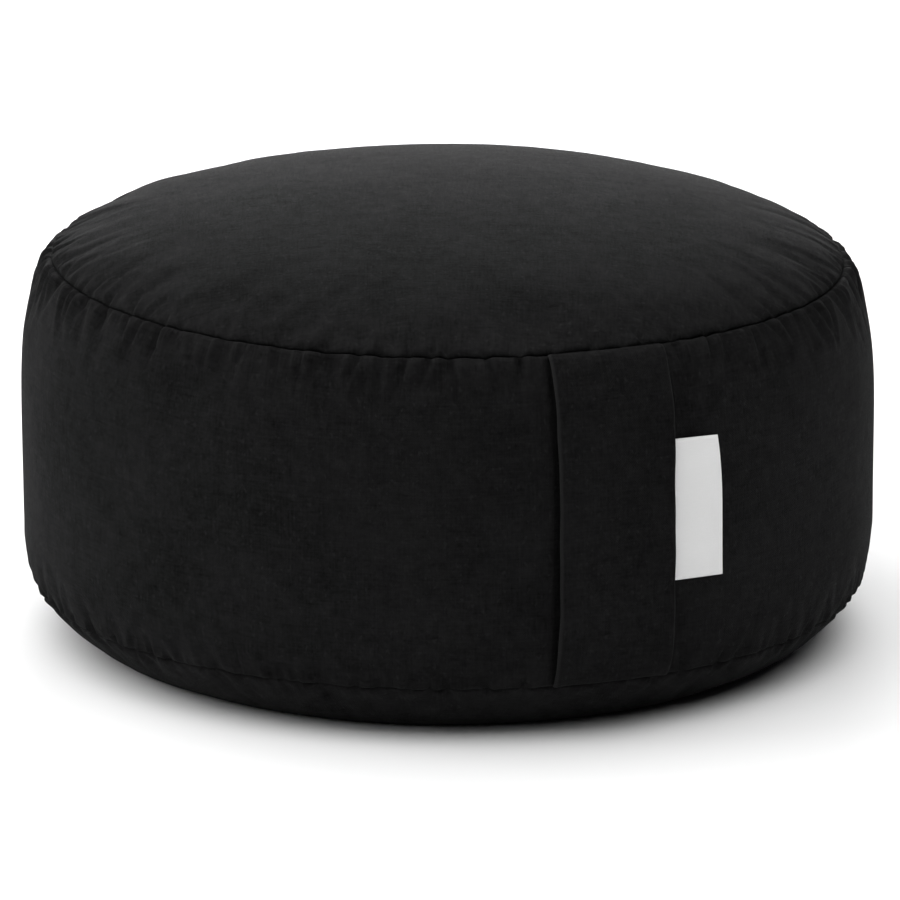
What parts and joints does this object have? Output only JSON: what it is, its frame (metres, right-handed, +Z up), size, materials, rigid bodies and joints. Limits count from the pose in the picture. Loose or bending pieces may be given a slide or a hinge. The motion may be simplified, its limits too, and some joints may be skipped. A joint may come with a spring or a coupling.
{
  "type": "round meditation cushion",
  "caption": "Low round floor cushion with a soft crown, a bulging side band with puckered seams, a flat handle strap from seam to seam and a small blank label beside it.",
  "frame": {"origin": "centre of the flat base on the floor", "axes": "+Z up through the middle of the crown; the front, seen in the picture, faces -Y, and the strap and label lie on the front, towards +X"},
  "size_m": [0.33, 0.33, 0.1735],
  "materials": {
    "black_cotton": "matte plain-weave black cotton",
    "strap_cotton": "matte plain-weave black cotton, folded double",
    "white_ribbon": "smooth white woven ribbon, blank"
  },
  "bodies": {
    "root": {"cushion": "black_cotton", "handle_strap": "strap_cotton", "label": "white_ribbon"}
  },
  "joints": []
}
